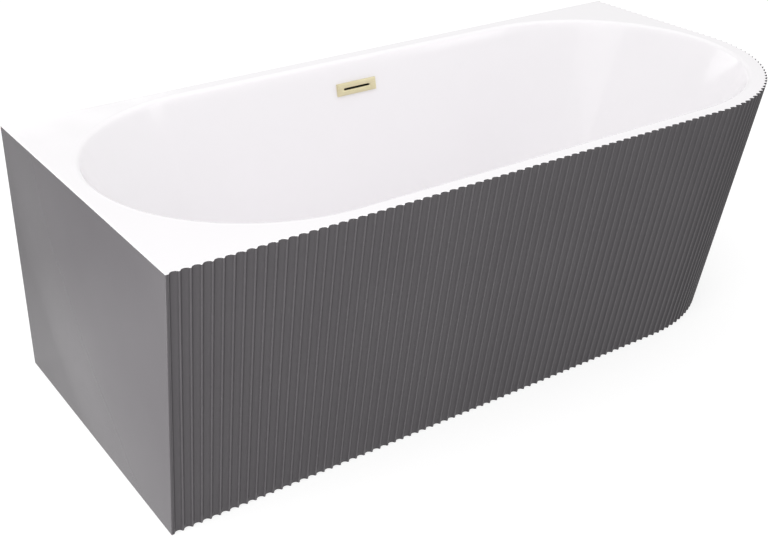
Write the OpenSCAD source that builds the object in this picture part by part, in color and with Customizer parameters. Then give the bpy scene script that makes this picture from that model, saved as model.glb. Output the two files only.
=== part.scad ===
// A corner bath with a fluted apron. All sizes are in millimetres and +Z is up.
// The origin is on the floor, under the centre of the deck. +X runs along the bath
// to its rounded end, and +Y runs to the wall behind it. The left end and the back
// stand against walls. The front and the rounded end lean in towards the floor.

/* [Bath] */
// Length of the deck along the wall
bath_l = 1700; // [1500:10:1800]
// Width of the deck from the wall to the front
bath_w = 800; // [750:10:850]
// Height of the deck above the floor
bath_h = 580; // [540:5:640]
// Radius of the rounded corner at the deck
corner_r_top = 390; // [300:5:395]
// Radius of the rounded corner at the floor
corner_r_foot = 360; // [270:5:380]
// How far the front leans in at the floor
front_lean = 80; // [30:5:90]
// How far the rounded end leans in at the floor
end_lean = 90; // [30:5:110]

/* [Basin] */
// Width of the rim between the opening and the deck's edge
rim_w = 30; // [26:1:45]
// Radius of the rounded edge of the opening
rim_round = 12; // [8:1:16]
// Height of the basin's floor above the room's floor
floor_z = 140; // [138:1:160]
// Slope of the long walls from upright, in degrees
side_slope = 10.5; // [8:0.5:13]
// Slope of the end walls from upright, in degrees
end_slope = 24; // [16:1:28]
// Radius between the long walls and the floor
floor_r_side = 70; // [50:5:90]
// Radius between the end walls and the floor
floor_r_end = 110; // [80:5:130]
// Thickness of the acrylic with its glass fibre backing
wall_t = 5; // [4:0.5:6]
// Thickness of the reinforced floor at its edge
floor_t = 12; // [11:0.5:14]
// How far the floor falls to the waste
floor_fall = 5; // [3:0.5:6]

/* [Apron] */
// Thickness of the apron over the crests of its flutes
apron_t = 10; // [9:0.5:14]
// Depth of the flutes
flute_depth = 6; // [4:0.5:7]
// Width of the flat crest between two flutes
flute_land = 3; // [2:0.5:5]
// Number of flutes along the front
front_flutes = 65; // [50:1:70]
// Number of flutes round the corner
corner_flutes = 31; // [22:1:34]
// Number of flutes along the end
end_flutes = 20; // [14:1:24]
// Thickness of the plain panels
panel_t = 5; // [4:0.5:8]
// Thickness of the deck's lip over the apron and the panels
lip_t = 1; // [1:0.5:2]
// Width of the service notch in the back panel
service_w = 460; // [380:10:560]
// Height of the service notch in the back panel
service_h = 170; // [140:5:200]
// Width of each leg of the inner corner strips
strip_w = 30; // [20:1:40]
// Thickness of the inner corner strips
strip_t = 3; // [2:0.5:5]
// Width of the wooden deck battens
batten_w = 20; // [12:1:22]
// Height of the wooden deck battens
batten_h = 30; // [20:1:34]

/* [Frame] */
// Thickness of the board under the basin
board_t = 15; // [12:1:16]
// Distance from the edge of the flat underside to the board's edge
board_margin = 20; // [10:1:40]
// Distance from the board's edge in to the centre of a rail
rail_inset = 49; // [30:1:80]
// Width of the steel box tube
tube_w = 30; // [26:1:35]
// Height of the steel box tube
tube_h = 25; // [22:1:26]
// Wall of the steel box tube
tube_wall = 2; // [1.5:0.5:3]
// Distance from the waste to the middle cross member
middle_offset = 140; // [110:5:180]
// Gap between a cross member's end and the panel in front of it
member_gap = 14; // [8:1:25]
// Width of the brackets that hold the panels
bracket_w = 26; // [20:1:30]
// Thickness of the brackets
bracket_t = 3; // [2:0.5:4]
// Length of a bracket's leg on the cross member
bracket_l = 36; // [32:1:45]
// Height of a bracket's leg on the panel
bracket_h = 40; // [30:1:60]

/* [Feet] */
// Radius of the threaded stud
stud_r = 6; // [5:0.5:6.5]
// Radius of the foot's pad
pad_r = 25; // [20:1:30]
// Height of the foot's pad
pad_h = 14; // [10:1:16]
// Distance from a cross member's end to its foot
foot_inset = 55; // [50:1:80]
// Height of the nut welded under the cross member
weld_nut_h = 10; // [8:1:12]
// Height of the lock nut
lock_nut_h = 6; // [5:0.5:8]

/* [Waste] */
// Radius of the hole in the basin's floor
waste_hole_r = 26; // [25:0.5:28]
// Radius of the waste's flange
flange_r = 35; // [33:0.5:37]
// Thickness of the waste's flange
flange_t = 3; // [2.5:0.5:4]
// Radius of the waste's threaded tube
tail_r = 22.5; // [21:0.5:24]
// Radius of the plug's cap
cap_r = 31; // [28:0.5:33]
// How far the plug rises
plug_travel = 9; // [6:1:10]
// Radius of the plug's stem
stem_r = 6; // [5:0.5:7]
// Radius of the overflow pipe
overflow_pipe_r = 12.5; // [11:0.5:13]
// Wall of the plastic pipes
pipe_wall = 2; // [1.5:0.5:3]
// Radius of the outlet pipe
outlet_r = 20; // [16:0.5:20]
// Radius of the trap
trap_r = 40; // [34:1:46]
// Distance from the waste to the outlet pipe's last run
outlet_x = 120; // [115:5:160]

/* [Overflow] */
// Length of the overflow plate
plate_l = 110; // [100:1:130]
// Height of the overflow plate
plate_h = 30; // [26:1:36]
// Thickness of the overflow plate
plate_t = 5; // [4:0.5:6]
// Length of the slot in the overflow plate
slot_l = 74; // [60:1:80]
// Height of the slot in the overflow plate
slot_h = 5; // [3:0.5:6]
// Distance from the deck down to the slot
overflow_drop = 69; // [60:1:100]

/* [Hidden] */

// Round faces, and the finer steps of the lofted forms
$fn = 64;
end_steps = 36;
edge_steps = 4;
foot_steps = 8;
flute_steps = 7;
// Extra length that carries a cut past a face
cut = 1;
// Radial room of a thread or a stem that turns or slides, and of pieces that only slip in
run_gap = 0.05;
slip_gap = 0.2;

// Colours
acrylic_white = [0.96, 0.96, 0.96];
graphite = [0.36, 0.35, 0.36];
gold = [0.86, 0.82, 0.70];
zinc = [0.72, 0.73, 0.75];
paint_grey = [0.45, 0.46, 0.48];
pine = [0.78, 0.64, 0.45];
chipboard = [0.70, 0.57, 0.40];
rubber = [0.12, 0.12, 0.12];
white_plastic = [0.90, 0.90, 0.88];
black_plastic = [0.16, 0.16, 0.17];

// The deck's underside, the top of the panels, and the faces that they turn inwards
deck_under = bath_h - wall_t;
panel_top = bath_h - lip_t;
left_face = -bath_l / 2 + panel_t;
back_face = bath_w / 2 - panel_t;

// Half length and half width of the opening
open_a = bath_l / 2 - rim_w;
open_b = bath_w / 2 - rim_w;
basin_depth = bath_h - floor_z;
under_z = floor_z - floor_t;
outer_depth = deck_under - under_z;

// A value part of the way from one to another
function mix(from, to, t) = from + (to - from) * t;

// How far down the leaning sides a height is, from 0 at the deck to 1 at the floor
function fall(z) = (bath_h - z) / bath_h;
function front_y(z) = -bath_w / 2 + front_lean * fall(z);
function end_x(z) = bath_l / 2 - end_lean * fall(z);
function corner_r(z) = mix(corner_r_top, corner_r_foot, fall(z));
function corner_x(z) = end_x(z) - corner_r(z);
function corner_y(z) = front_y(z) + corner_r(z);
front_angle = atan(front_lean / bath_h);
end_angle = atan(end_lean / bath_h);

// The apron's inner faces on the front and on the end
function apron_y(z) = front_y(z) + apron_t;
function apron_x(z) = end_x(z) - apron_t;

// How far a basin wall stands in from the opening at a depth: a rounded edge, a
// straight slope, and a rounded foot that runs into the floor
function wall_inset(d, depth, slope, edge_r, foot_r) =
    let (
        edge_d = edge_r * (1 - sin(slope)),
        foot_d = foot_r * (1 - sin(slope)),
        at_foot = wall_reach(depth, slope, edge_r, foot_r)
    )
    d <= edge_d ? sqrt(max(0, edge_r * edge_r - (edge_r - d) * (edge_r - d)))
    : d < depth - foot_d ? edge_r * cos(slope) + (d - edge_d) * tan(slope)
    : at_foot - sqrt(max(0, foot_r * foot_r - pow(foot_r - depth + d, 2)));

// How far a basin wall stands in where it meets the floor
function wall_reach(depth, slope, edge_r, foot_r) =
    (edge_r + foot_r) * cos(slope)
    + (depth - (edge_r + foot_r) * (1 - sin(slope))) * tan(slope);

// Points round a long oval: half length a, half width b, both ends half circles
function oval(a, b, z) = [
    for (side = [1, -1])
        for (i = [0 : end_steps])
            let (angle = -90 + 180 * i / end_steps)
            [side * (a - b + b * cos(angle)), side * b * sin(angle), z]
];

// One ring of the basin at a depth under the surface whose top is at z_top
function basin_ring(d, depth, z_top, edge_r, grow) =
    let (
        side = wall_inset(d, depth, side_slope, edge_r, floor_r_side + grow),
        end = wall_inset(d, depth, end_slope, edge_r, floor_r_end + grow)
    )
    oval(open_a - end, open_b - side, z_top - d);

// Depths of the rings from the edge to the floor, close together on the two rounds
function ring_depths(depth, edge_r, foot_r) = [
    for (i = [0 : edge_steps])
        edge_r * (1 - cos((90 - side_slope) * i / edge_steps)),
    for (i = [0 : foot_steps])
        depth - foot_r * (1 - cos((90 - end_slope) * (1 - i / foot_steps))),
];

function reversed(list) = [for (i = [len(list) - 1 : -1 : 0]) list[i]];

// Triangles of the skin over a stack of rings with n points each
function skin(rings, n) = [
    for (r = [0 : rings - 2])
        for (i = [0 : n - 1])
            let (j = (i + 1) % n, low = r * n, high = (r + 1) * n)
            each [[low + i, low + j, high + j], [low + i, high + j, high + i]]
];

// A closed solid from the basin floor's inner ring, over the rim, to its underside
module basin() {
    inner_depths = ring_depths(basin_depth, rim_round, floor_r_end);
    outer_depths = ring_depths(outer_depth, rim_round - wall_t, floor_r_end + wall_t);
    seat_a = waste_seat_r + seat_border;
    rings = concat(
        [oval(seat_a + cut, seat_a, seat_top)],
        [for (d = reversed(inner_depths)) basin_ring(d, basin_depth, bath_h, rim_round, 0)],
        [for (d = outer_depths) basin_ring(d, outer_depth, deck_under, rim_round - wall_t, wall_t)]
    );
    n = len(rings[0]);
    last = (len(rings) - 1) * n;
    polyhedron(
        points = [for (ring = rings) each ring],
        faces = concat(
            [[for (i = [n - 1 : -1 : 0]) i]],
            skin(len(rings), n),
            [[for (i = [0 : n - 1]) last + i]]
        )
    );
}

// A point on the apron's crest line, moved in by inset. Run 0 is the front, run 1
// the corner and run 2 the end, and t goes from 0 to 1 along a run.
function crest_point(run, t, z, inset) =
    run == 0 ? [mix(left_face, corner_x(z), t), front_y(z) + inset]
    : run == 2 ? [end_x(z) - inset, mix(corner_y(z), back_face, t)]
    : [
        corner_x(z) + (corner_r(z) - inset) * sin(90 * t),
        corner_y(z) - (corner_r(z) - inset) * cos(90 * t)
    ];

// Length of each run of the crest line
function run_length(run, z) =
    run == 0 ? corner_x(z) - left_face
    : run == 1 ? corner_r(z) * PI / 2
    : back_face - corner_y(z);
run_flutes = [front_flutes, corner_flutes, end_flutes];

// The fluted outline at a height. Each flute is an arc of a circle across its
// pitch, less the flat land that it leaves on the crest.
function fluted_line(z) = [
    crest_point(0, 0, z, 0),
    for (run = [0 : 2])
        let (
            pitch = run_length(run, z) / run_flutes[run],
            half = (pitch - flute_land) / 2,
            r = (half * half + flute_depth * flute_depth) / (2 * flute_depth),
            reach = asin(half / r)
        )
        for (flute = [0 : run_flutes[run] - 1])
            for (i = [0 : flute_steps])
                let (
                    angle = reach * (2 * i / flute_steps - 1),
                    t = (flute + 0.5 + r * sin(angle) / pitch) / run_flutes[run],
                    inset = r * cos(angle) - r + flute_depth
                )
                crest_point(run, t, z, inset),
    crest_point(2, 1, z, 0),
];

// The apron's plain inner line at a height, with a point behind every crest
function inner_line(z) = [
    for (run = [0 : 2])
        for (flute = [0 : run_flutes[run] - 1])
            crest_point(run, flute / run_flutes[run], z, apron_t),
    crest_point(2, 1, z, apron_t),
];

function at_height(line, z) = [for (p = line) [p[0], p[1], z]];

// Triangles across the apron's thickness at one flute. The flute's outer points
// start at out and its inner points at in, and each flute takes in the crest after it.
// The first flute also takes in the end of the outline.
function flute_cap(out, in, first) =
    let (half = floor(flute_steps / 2))
    concat(
        first ? [[in, out - 1, out]] : [],
        [for (i = [0 : half]) [in, out + i, out + i + 1]],
        [[in, out + half + 1, in + 1]],
        [for (i = [half + 1 : flute_steps - 1]) [in + 1, out + i, out + i + 1]],
        [[in + 1, out + flute_steps, out + flute_steps + 1]]
    );

function apron_cap(out, in, flutes) = [
    for (k = [0 : flutes - 1])
        each flute_cap(out + 1 + k * (flute_steps + 1), in + k, k == 0)
];

// Triangles between two lines of n points, the first above the second
function wall_between(above, below, n) = [
    for (i = [0 : n - 2])
        let (a = above + i, b = below + i)
        each [[a, a + 1, b + 1], [a, b + 1, b]]
];

function turned_over(triangles) = [for (t = triangles) [t[2], t[1], t[0]]];

// A wall between the fluted outline and the plain inner line, ruled from deck to floor
module fluted_apron() {
    outer = fluted_line(panel_top);
    inner = inner_line(panel_top);
    no = len(outer);
    ni = len(inner);
    // Where each of the four lines starts in the list of points
    foot = no;
    inner_top = 2 * no;
    inner_foot = inner_top + ni;
    color(graphite)
    polyhedron(
        points = concat(
            at_height(outer, panel_top),
            at_height(fluted_line(0), 0),
            at_height(inner, panel_top),
            at_height(inner_line(0), 0)
        ),
        faces = concat(
            wall_between(0, foot, no),
            turned_over(wall_between(inner_top, inner_foot, ni)),
            turned_over(apron_cap(0, inner_top, ni - 1)),
            apron_cap(foot, inner_foot, ni - 1),
            [[inner_top, 0, foot, inner_foot]],
            [[no - 1, inner_top + ni - 1, inner_foot + ni - 1, foot + no - 1]]
        )
    );
}

// The seat of the waste's flange in the floor
waste_seat_r = flange_r + slip_gap;
seat_border = 6;
seat_top = floor_z - floor_fall;
seat_z = seat_top - flange_t;

// One layer of the deck, from an outline in to the opening
module deck_layer(outline, z, t) {
    opening = [for (p = oval(open_a, open_b, 0)) [p[0], p[1]]];
    translate([0, 0, z])
        linear_extrude(t)
            difference() {
                polygon(outline);
                polygon(opening);
            }
}

// The deck: a thin lip with the fluted outline on the two open sides and square corners
// on the wall sides, over a thicker layer that the apron and the panels stand round
module deck() {
    deck_layer(
        concat(
            [[-bath_l / 2, bath_w / 2], [-bath_l / 2, -bath_w / 2]],
            fluted_line(bath_h),
            [[bath_l / 2, bath_w / 2]]
        ),
        panel_top, lip_t
    );
    deck_layer(
        concat(inner_line(deck_under), [[left_face, back_face]]),
        deck_under, wall_t - lip_t
    );
}

module bath_shell() {
    color(acrylic_white)
    difference() {
        union() {
            deck();
            basin();
        }
        translate([0, 0, seat_z])
            cylinder(r = waste_seat_r, h = basin_depth / 2);
        translate([0, 0, under_z - cut])
            cylinder(r = waste_hole_r, h = floor_t);
        on_back_wall()
            overflow_hole(-cut, wall_t + 2 * cut);
        on_back_wall()
            plate_screw_holes(-cut, wall_t + 2 * cut);
    }
}

// Plain panels against the walls
module end_panel() {
    color(graphite)
    translate([-bath_l / 2, 0, 0])
        rotate([90, 0, 90])
            linear_extrude(panel_t)
                polygon([
                    [front_y(panel_top), panel_top],
                    [front_y(0), 0],
                    [bath_w / 2, 0],
                    [bath_w / 2, panel_top],
                ]);
}

module back_panel() {
    color(graphite)
    translate([0, bath_w / 2, 0])
        rotate([90, 0, 0])
            linear_extrude(panel_t)
                difference() {
                    polygon([
                        [left_face, 0],
                        [end_x(0), 0],
                        [end_x(panel_top), panel_top],
                        [left_face, panel_top],
                    ]);
                    translate([outlet_x - service_w / 2, -cut])
                        square([service_w, service_h + cut]);
                }
}

// Inner corner strips, from just above the floor to the deck's underside
strip_foot = 10;
strip_rise = deck_under - strip_foot;

// An upright angle with its corner on the Z axis, its legs along +X and +Y
module angle_strip(length) {
    linear_extrude(length)
        union() {
            square([strip_w, strip_t]);
            square([strip_t, strip_w]);
        }
}

// The part of a leaning strip between its foot and the deck
module between_floor_and_deck() {
    intersection() {
        children();
        translate([-bath_l, -bath_w, strip_foot])
            cube([2 * bath_l, 2 * bath_w, strip_rise]);
    }
}

module corner_strip_front() {
    color(graphite)
    between_floor_and_deck()
        translate([left_face, apron_y(0), 0])
            rotate([front_angle, 0, 0])
                translate([0, 0, -strip_w])
                    angle_strip(bath_h + 2 * strip_w);
}

module corner_strip_back() {
    color(graphite)
    translate([left_face, back_face, strip_foot])
        rotate([0, 0, -90])
            angle_strip(strip_rise);
}

module corner_strip_end() {
    color(graphite)
    between_floor_and_deck()
        translate([apron_x(0), back_face, 0])
            rotate([0, end_angle, 0])
                translate([0, 0, -strip_w])
                    rotate([0, 0, 180])
                        angle_strip(bath_h + 2 * strip_w);
}

// Wooden battens under the wide parts of the deck, clear of the corner strips
batten_gap = 4;

module deck_batten_left() {
    front = apron_y(deck_under - batten_h) + strip_w + batten_gap;
    back = back_face - strip_w - batten_gap;
    color(pine)
    translate([left_face, front, deck_under - batten_h])
        cube([batten_w, back - front, batten_h]);
}

module deck_batten_back() {
    left = left_face + strip_w + batten_gap;
    right = apron_x(deck_under - batten_h) - strip_w - batten_gap;
    color(pine)
    translate([left, back_face - batten_w, deck_under - batten_h])
        cube([right - left, batten_w, batten_h]);
}

// The flat underside of the basin, and the board bonded to it
flat_a = open_a - wall_reach(outer_depth, end_slope, rim_round - wall_t, floor_r_end + wall_t);
flat_b = open_b - wall_reach(outer_depth, side_slope, rim_round - wall_t, floor_r_side + wall_t);
board_l = 2 * (flat_a - board_margin);
board_w = 2 * (flat_b - board_margin);
board_r = board_w / 4;
board_z = under_z - board_t;
waste_room = 20;

// Rails lie under the board, and cross members lie under the rails
rail_z = board_z - tube_h;
member_z = rail_z - tube_h;
rail_y = board_w / 2 - rail_inset;
member_front = apron_y(member_z) + member_gap;
member_back = back_face - member_gap;
member_x = [-board_l / 2 + tube_w * 2, -middle_offset, corner_x(0)];
foot_at = [
    [member_x[0], member_front + foot_inset],
    [member_x[0], member_back - foot_inset],
    [member_x[2], member_front + foot_inset],
    [member_x[2], member_back - foot_inset],
    [member_x[1], 0],
];

// Bolts at the crossings, from under the cross members up into the board
bolt_r = 4;
bolt_head_r = 7;
bolt_head_h = 5;
bolt_bite = 10;
bolt_at = [for (x = member_x) for (side = [-1, 1]) [x, side * rail_y]];

module bolt_holes() {
    for (p = bolt_at)
        translate([p[0], p[1], member_z - cut])
            cylinder(r = bolt_r + slip_gap, h = board_z + bolt_bite + 2 * cut - member_z);
}

module rounded_plate(l, w, r, t) {
    linear_extrude(t)
        union() {
            square([l - 2 * r, w], center = true);
            square([l, w - 2 * r], center = true);
            for (x = [-1, 1])
                for (y = [-1, 1])
                    translate([x * (l / 2 - r), y * (w / 2 - r)])
                        circle(r = r);
        }
}

module base_board() {
    color(chipboard)
    difference() {
        translate([0, 0, board_z])
            rounded_plate(board_l, board_w, board_r, board_t);
        translate([0, 0, board_z - cut])
            cylinder(r = flange_r + waste_room, h = board_t + 2 * cut);
        bolt_holes();
    }
}

// A box tube along X from the origin, its base centred on the X axis
module box_tube(l) {
    difference() {
        translate([0, -tube_w / 2, 0])
            cube([l, tube_w, tube_h]);
        translate([-cut, -tube_w / 2 + tube_wall, tube_wall])
            cube([l + 2 * cut, tube_w - 2 * tube_wall, tube_h - 2 * tube_wall]);
    }
}

module frame_rail(side) {
    color(paint_grey)
    difference() {
        translate([-board_l / 2, side * rail_y, rail_z])
            box_tube(board_l);
        bolt_holes();
    }
}

module cross_member(x) {
    color(paint_grey)
    difference() {
        translate([x, member_front, member_z])
            rotate([0, 0, 90])
                box_tube(member_back - member_front);
        bolt_holes();
        for (p = foot_at)
            translate([p[0], p[1], member_z - cut])
                cylinder(r = stud_r + 1, h = tube_wall + 2 * cut);
        for (y = bracket_screw_y)
            translate([x, y, rail_z - tube_wall - cut])
                cylinder(r = screw_r + slip_gap, h = tube_wall + 2 * cut);
    }
}

// A plastic cap that plugs the end of a tube, facing -X with its lip on the end
cap_lip = 2;
cap_plug = 10;

module tube_cap() {
    translate([-cap_lip, -tube_w / 2, 0])
        cube([cap_lip, tube_w, tube_h]);
    translate([-cap_lip / 2, -tube_w / 2 + tube_wall, tube_wall])
        cube([cap_plug, tube_w - 2 * tube_wall, tube_h - 2 * tube_wall]);
}

module tube_caps() {
    color(black_plastic)
    union() {
        for (side = [-1, 1])
            for (turn = [0, 180])
                translate([turn == 0 ? -board_l / 2 : board_l / 2, side * rail_y, rail_z])
                    rotate([0, 0, turn])
                        tube_cap();
        for (x = member_x)
            for (turn = [90, 270])
                translate([x, turn == 90 ? member_front : member_back, member_z])
                    rotate([0, 0, turn])
                        tube_cap();
    }
}

module frame_bolts() {
    color(zinc)
    for (p = bolt_at)
        translate([p[0], p[1], member_z]) {
            translate([0, 0, -bolt_head_h])
                cylinder(r = bolt_head_r, h = bolt_head_h, $fn = 6);
            translate([0, 0, -bolt_head_h / 2])
                cylinder(r = bolt_r, h = board_z + bolt_bite - member_z + bolt_head_h / 2);
        }
}

// Brackets on top of the cross members hold the panels. Screws hold the brackets.
screw_r = 2.5;
screw_head_r = 5;
screw_head_h = 2.5;
screw_l = 12;
screw_in = 22;
bracket_screw_y = [member_front + screw_in, member_back - screw_in];
panel_bracket_top = rail_z + bracket_h;

// A bracket's profile: from the panel's face at its foot and top, back along the tube
module bracket(face_foot, face_top, tail, x, screw_y) {
    inward = sign(tail - face_foot);
    difference() {
        translate([x - bracket_w / 2, 0, 0])
            rotate([90, 0, 90])
                linear_extrude(bracket_w)
                    polygon([
                        [face_foot, rail_z],
                        [face_top, panel_bracket_top],
                        [face_top + inward * bracket_t, panel_bracket_top],
                        [face_foot + inward * (bracket_t + bracket_t / 4), rail_z + bracket_t],
                        [tail, rail_z + bracket_t],
                        [tail, rail_z],
                    ]);
        translate([x, screw_y, rail_z - cut])
            cylinder(r = screw_r + slip_gap, h = bracket_t + 2 * cut);
    }
}

module apron_brackets() {
    color(zinc)
    for (x = member_x)
        bracket(
            apron_y(rail_z), apron_y(panel_bracket_top),
            member_front + bracket_l, x, bracket_screw_y[0]
        );
}

module back_brackets() {
    color(zinc)
    for (x = member_x)
        bracket(back_face, back_face, member_back - bracket_l, x, bracket_screw_y[1]);
}

module bracket_screws() {
    color(zinc)
    for (x = member_x)
        for (y = bracket_screw_y)
            translate([x, y, rail_z + bracket_t]) {
                cylinder(r = screw_head_r, h = screw_head_h);
                translate([0, 0, screw_head_h / 2 - screw_l])
                    cylinder(r = screw_r, h = screw_l);
            }
}

// Feet: a stud with a hexagon collar stands in a pad and screws into a welded nut
collar_h = 6;
collar_r = stud_r + 4;
socket_floor = 5;
stud_clear = 6;
stud_top = member_z + tube_h - tube_wall - stud_clear;
nut_r = stud_r + 5;
weld_nut_z = member_z - weld_nut_h;
lock_nut_z = weld_nut_z - lock_nut_h;

module foot_stud(p) {
    color(zinc)
    translate([p[0], p[1], 0]) {
        translate([0, 0, socket_floor])
            cylinder(r = stud_r, h = stud_top - socket_floor);
        translate([0, 0, pad_h])
            cylinder(r = collar_r, h = collar_h, $fn = 6);
    }
}

module foot_pad(p) {
    color(black_plastic)
    translate([p[0], p[1], 0])
        rotate_extrude()
            polygon([
                [0, 0],
                [pad_r - 2, 0],
                [pad_r, 2],
                [pad_r, 5],
                [stud_r + 7, pad_h],
                [stud_r + run_gap, pad_h],
                [stud_r + run_gap, socket_floor],
                [0, socket_floor],
            ]);
}

module stud_nuts(z, h) {
    color(zinc)
    for (p = foot_at)
        translate([p[0], p[1], z])
            difference() {
                cylinder(r = nut_r, h = h, $fn = 6);
                translate([0, 0, -cut])
                    cylinder(r = stud_r + run_gap, h = h + 2 * cut);
            }
}

// The overflow lies on the back wall's slope. In its own frame -Y points out of
// the wall into the basin, and Z runs up the wall.
overflow_z = bath_h - overflow_drop;
overflow_y = open_b - wall_inset(overflow_drop, basin_depth, side_slope, rim_round, floor_r_side);
gasket_t = 3;
ear_t = 4;
body_w = 76;
body_gap = 4;
body_back = back_face - overflow_y - body_gap;
body_low = -24;
body_high = 16;
throat = 12;
hole_l = slot_l + 6;
hole_h = 14;
plate_screw_x = (plate_l + hole_l) / 4;
plate_screw_r = 2;
plate_screw_head = 2;
plate_screw_bite = 3;

module on_back_wall() {
    translate([0, overflow_y, overflow_z])
        rotate([-side_slope, 0, 0])
            children();
}

// A slot with round ends, through the wall from y over a length along +Y
module wall_slot(l, h, y, length) {
    translate([0, y, 0])
        rotate([-90, 0, 0])
            linear_extrude(length)
                union() {
                    square([l - h, h], center = true);
                    for (side = [-1, 1])
                        translate([side * (l - h) / 2, 0])
                            circle(r = h / 2);
                }
}

module overflow_hole(y, length) {
    wall_slot(hole_l, hole_h, y, length);
}

module plate_screw_holes(y, length) {
    for (side = [-1, 1])
        translate([side * plate_screw_x, y, 0])
            rotate([-90, 0, 0])
                cylinder(r = plate_screw_r + slip_gap, h = length);
}

module overflow_plate() {
    color(gold)
    on_back_wall()
        difference() {
            translate([-plate_l / 2, -plate_t, -plate_h / 2])
                cube([plate_l, plate_t, plate_h]);
            wall_slot(slot_l, slot_h, -plate_t - cut, plate_t + 2 * cut);
            plate_screw_holes(-plate_screw_bite - slip_gap, plate_screw_bite + slip_gap + cut);
        }
}

module overflow_gasket() {
    color(rubber)
    on_back_wall()
        difference() {
            translate([-plate_l / 2, wall_t, -plate_h / 2])
                cube([plate_l, gasket_t, plate_h]);
            overflow_hole(wall_t - cut, gasket_t + 2 * cut);
            plate_screw_holes(wall_t - cut, gasket_t + 2 * cut);
        }
}

// The overflow pipe hangs under the body and turns under the rails to the waste
pipe_clear = 9;
hair_gap = 0.5;
pipe_y = back_face - overflow_pipe_r - pipe_clear;
pipe_z = rail_z - overflow_pipe_r - hair_gap;
pipe_bend = 40;
socket_r = overflow_pipe_r + 3;
socket_drop = 52;
socket_z = overflow_z - socket_drop;
socket_l = 20;
body_face = wall_t + gasket_t;

module overflow_body() {
    color(black_plastic)
    difference() {
        union() {
            on_back_wall() {
                translate([-plate_l / 2, body_face, -plate_h / 2])
                    cube([plate_l, ear_t, plate_h]);
                translate([-body_w / 2, body_face, body_low])
                    cube([body_w, body_back - body_face, body_high - body_low]);
            }
            translate([0, pipe_y, socket_z])
                cylinder(r = socket_r, h = overflow_z - socket_z);
        }
        on_back_wall()
            overflow_hole(body_face - cut, throat + cut);
        on_back_wall()
            plate_screw_holes(body_face - cut, ear_t + 2 * cut);
        translate([0, pipe_y, socket_z - cut])
            cylinder(r = overflow_pipe_r + slip_gap, h = socket_l + cut);
    }
}

module overflow_screws() {
    color(zinc)
    on_back_wall()
        for (side = [-1, 1])
            translate([side * plate_screw_x, body_face + ear_t, 0])
                rotate([90, 0, 0]) {
                    cylinder(r = plate_screw_r, h = body_face + ear_t + plate_screw_bite);
                    translate([0, 0, -plate_screw_head])
                        cylinder(r = 2 * plate_screw_r, h = plate_screw_head);
                }
}

// A hollow pipe along Z from the origin
module pipe(r, l) {
    difference() {
        cylinder(r = r, h = l);
        translate([0, 0, -cut])
            cylinder(r = r - pipe_wall, h = l + 2 * cut);
    }
}

// A quarter bend in the XZ plane: it starts at the origin along +Z and turns to +X
module quarter_bend(r, bend) {
    translate([bend, 0, 0])
        rotate([90, 0, 0])
            rotate([0, 0, 90])
                rotate_extrude(angle = 90)
                    translate([bend, 0])
                        difference() {
                            circle(r = r);
                            circle(r = r - pipe_wall);
                        }
}

module overflow_pipe() {
    color(white_plastic)
    union() {
        translate([0, pipe_y, pipe_z + pipe_bend])
            pipe(overflow_pipe_r, socket_z + socket_l - pipe_z - pipe_bend);
        translate([0, pipe_y, pipe_z + pipe_bend])
            rotate([180, 0, -90])
                quarter_bend(overflow_pipe_r, pipe_bend);
        translate([0, inlet_seat, pipe_z])
            rotate([-90, 0, 0])
                pipe(overflow_pipe_r, pipe_y - pipe_bend - inlet_seat);
    }
}

// Waste: the flange's tube screws into the body under the floor
tail_wall = 2.5;
tail_l = 32;
body_r = tail_r + 5.5;
gasket_under_t = 4;
body_top = under_z - gasket_under_t;
body_flange_r = waste_hole_r + 11;
body_flange_t = 6;
inlet_l = 24;
inlet_y = body_r + inlet_l;
inlet_seat = body_r + 4;
body_bottom = pipe_z - socket_r - hair_gap;
body_floor = 4;
tail_z = seat_z - tail_l;
drain_r = 18;
drain_reach = 8;
nut_t = 5;
trap_top = body_bottom - nut_t;
drain_l = body_bottom - trap_top + drain_reach;
trap_clear = 10;

module waste_flange() {
    color(gold)
    rotate_extrude()
        polygon([
            [tail_r - tail_wall, tail_z],
            [tail_r, tail_z],
            [tail_r, seat_z],
            [flange_r, seat_z],
            [flange_r, seat_z + flange_t - 1],
            [flange_r - 1, seat_z + flange_t],
            [tail_r + 1, seat_z + flange_t],
            [tail_r - tail_wall, seat_z + flange_t - 1.5],
        ]);
}

// The plug: a domed cap with a seal, on a stem that slides in the guide
seal_t = 2;
seal_r = tail_r + 6;
seal_gap = 0.3;
seal_z = seat_top + seal_gap;
cap_z = seal_z + seal_t;
cap_edge = 3;
dome_h = 3;
dome_r = (cap_r * cap_r + dome_h * dome_h) / (2 * dome_h);
guide_r = 10;
guide_z = tail_z + 2;
guide_top = seat_top - 6;
spring_r = stem_r + 2;
spring_z = guide_z + 8;
spring_top = guide_top - 2;
stem_foot = guide_z - 4;
arm_t = 3;
arm_h = 12;
boss_r = stem_r + 4;
boss_h = 4;
stem_collar_t = 2;

module plug_cap() {
    color(gold)
    translate([0, 0, cap_z])
        rotate_extrude()
            polygon([
                [0, 0],
                [cap_r - 1, 0],
                [cap_r, 1],
                [cap_r, cap_edge - 1],
                for (i = [0 : 8])
                    let (x = (cap_r - 1) * (1 - i / 8))
                    [x, cap_edge + sqrt(dome_r * dome_r - x * x) - dome_r + dome_h],
            ]);
}

module plug_seal() {
    color(rubber)
    translate([0, 0, seal_z])
        difference() {
            cylinder(r = seal_r, h = seal_t);
            translate([0, 0, -cut])
                cylinder(r = boss_r + slip_gap, h = seal_t + 2 * cut);
        }
}

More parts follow.
